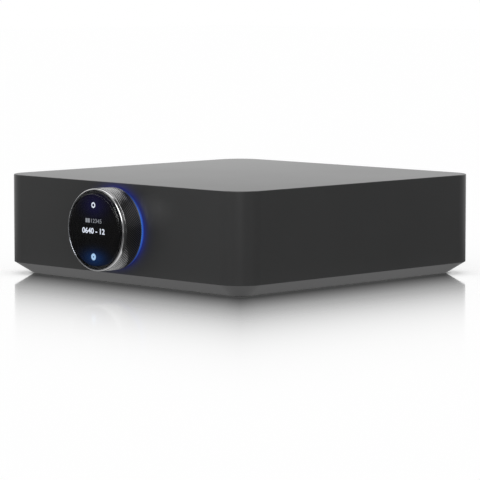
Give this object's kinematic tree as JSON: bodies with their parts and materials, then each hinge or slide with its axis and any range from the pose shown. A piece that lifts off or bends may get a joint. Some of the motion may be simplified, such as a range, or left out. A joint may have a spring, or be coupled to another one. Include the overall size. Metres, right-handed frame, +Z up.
{
  "type": "stereo amplifier",
  "caption": "Compact square stereo amplifier with a round front dial that turns about a fixed domed display, a lit ring behind it, and sockets on a rear panel.",
  "frame": {"origin": "on the table, under the centre of the amplifier's box", "axes": "+Z up, -Y out of the front where the dial is, +X to the amplifier's right seen from the front"},
  "size_m": [0.217, 0.2562, 0.0644],
  "materials": {
    "case_paint": "satin grey paint",
    "base_plastic": "moulded, painted to match the case",
    "foot_rubber": "matt rubber",
    "black_screw": "black oxide",
    "panel_plastic": "fine moulded grain",
    "dial_metal": "diamond knurled",
    "rim_metal": "diamond-cut and polished",
    "bearing_steel": "ground",
    "cage_brass": "stamped",
    "magnet": "bonded ferrite",
    "hub_metal": "turned",
    "light_guide": "lit blue from inside",
    "circuit_board": "green solder mask",
    "led": "moulded",
    "black_plastic": "moulded",
    "display": "black, with lit figures",
    "display_glass": "domed, with a rolled edge",
    "flex_amber": "polyimide film",
    "plated_metal": "nickel plate",
    "contact_black": "moulded",
    "phono_core": "moulded",
    "plated_brass": "gold plate",
    "cap_black": "moulded, fluted",
    "button": "moulded",
    "ferrite": "sintered",
    "winding": "enamelled copper",
    "capacitor": "sleeved can",
    "chip": "moulded",
    "sink": "anodised",
    "lead": "insulated"
  },
  "bodies": {
    "case": {"top_shell": "case_paint", "base_pan": "base_plastic", "rubber_feet": "foot_rubber", "base_screws": "black_screw", "rear_panel": "panel_plastic", "rear_screws": "black_screw", "bearing_inner_race": "bearing_steel", "bearing_circlip": "bearing_steel", "front_hub": "hub_metal", "hub_nut": "bearing_steel", "light_ring": "light_guide", "light_board": "circuit_board", "leds": "led", "display_carrier": "black_plastic", "display_module": "display", "display_glass": "display_glass", "display_flex": "flex_amber", "mains_inlet": "black_plastic", "mains_pins": "plated_metal", "ethernet_jack": "plated_metal", "hdmi_jack": "plated_metal", "hdmi_tongue": "contact_black", "optical_jack": "black_plastic", "phono_shells": "plated_metal", "phono_insulators": "phono_core", "post_bases": "black_plastic", "post_studs": "plated_brass", "post_nuts": "plated_metal", "reset_switch": "black_plastic", "io_board": "circuit_board", "amp_board": "circuit_board", "power_board": "circuit_board", "board_screws": "plated_metal", "transformer_core": "ferrite", "transformer_winding": "winding", "mains_choke": "winding", "bulk_capacitors": "capacitor", "amp_chips": "chip", "amp_heatsink": "sink", "output_inductors": "chip", "network_module": "black_plastic", "speaker_leads": "lead", "mains_leads": "lead"},
    "dial": {"volume_ring": "dial_metal", "knob_rim": "rim_metal", "bearing_outer_race": "bearing_steel", "encoder_magnet": "magnet"},
    "ball_cage": {"bearing_balls": "bearing_steel", "bearing_cage": "cage_brass"},
    "fibre_flap": {"optical_flap": "contact_black"},
    "reset": {"reset_button": "button"},
    "terminal_thread_1": {"post_insert_1": "plated_brass"},
    "terminal_cap_1": {"post_cap_1": "cap_black"},
    "terminal_thread_2": {"post_insert_2": "plated_brass"},
    "terminal_cap_2": {"post_cap_2": "cap_black"},
    "terminal_thread_3": {"post_insert_3": "plated_brass"},
    "terminal_cap_3": {"post_cap_3": "cap_black"},
    "terminal_thread_4": {"post_insert_4": "plated_brass"},
    "terminal_cap_4": {"post_cap_4": "cap_black"}
  },
  "joints": [
    {"name": "volume_turn", "type": "hinge", "parent": "case", "child": "dial", "pos_m": [0, -0.1172, 0.0361], "axis": [0, 1, 0], "continuous": true},
    {"name": "cage_turn", "type": "hinge", "parent": "case", "child": "ball_cage", "pos_m": [0, -0.1172, 0.0361], "axis": [0, 1, 0], "continuous": true},
    {"name": "cap_1_turn", "type": "hinge", "parent": "terminal_thread_1", "child": "terminal_cap_1", "pos_m": [-0.022, 0.1165, 0.026], "axis": [0, 1, 0], "range_deg": [0, 720]},
    {"name": "cap_1_travel", "type": "slide", "parent": "case", "child": "terminal_thread_1", "axis": [0, 1, 0], "range_m": [0, 0.002]},
    {"name": "cap_2_turn", "type": "hinge", "parent": "terminal_thread_2", "child": "terminal_cap_2", "pos_m": [-0.041, 0.1165, 0.026], "axis": [0, 1, 0], "range_deg": [0, 720]},
    {"name": "cap_2_travel", "type": "slide", "parent": "case", "child": "terminal_thread_2", "axis": [0, 1, 0], "range_m": [0, 0.002]},
    {"name": "cap_3_turn", "type": "hinge", "parent": "terminal_thread_3", "child": "terminal_cap_3", "pos_m": [-0.022, 0.1165, 0.047], "axis": [0, 1, 0], "range_deg": [0, 720]},
    {"name": "cap_3_travel", "type": "slide", "parent": "case", "child": "terminal_thread_3", "axis": [0, 1, 0], "range_m": [0, 0.002]},
    {"name": "cap_4_turn", "type": "hinge", "parent": "terminal_thread_4", "child": "terminal_cap_4", "pos_m": [-0.041, 0.1165, 0.047], "axis": [0, 1, 0], "range_deg": [0, 720]},
    {"name": "cap_4_travel", "type": "slide", "parent": "case", "child": "terminal_thread_4", "axis": [0, 1, 0], "range_m": [0, 0.002]},
    {"name": "fibre_flap_swing", "type": "hinge", "parent": "case", "child": "fibre_flap", "pos_m": [0.015, 0.1084, 0.0489], "axis": [-1, 0, 0], "range_deg": [0, 80], "stiffness_Nm_per_rad": 0.0002, "springref_deg": -20.05},
    {"name": "reset_press", "type": "slide", "parent": "case", "child": "reset", "axis": [0, -1, 0], "range_m": [0, 0.0006], "stiffness_N_per_m": 400, "springref_m": -0.001}
  ],
  "couplings": [
    {"joint": "cage_turn", "follows": "volume_turn", "ratio": 0.55},
    {"joint": "cap_1_turn", "follows": "cap_1_travel", "rad_per_m": 6283.2},
    {"joint": "cap_2_turn", "follows": "cap_2_travel", "rad_per_m": 6283.2},
    {"joint": "cap_3_turn", "follows": "cap_3_travel", "rad_per_m": 6283.2},
    {"joint": "cap_4_turn", "follows": "cap_4_travel", "rad_per_m": 6283.2}
  ]
}
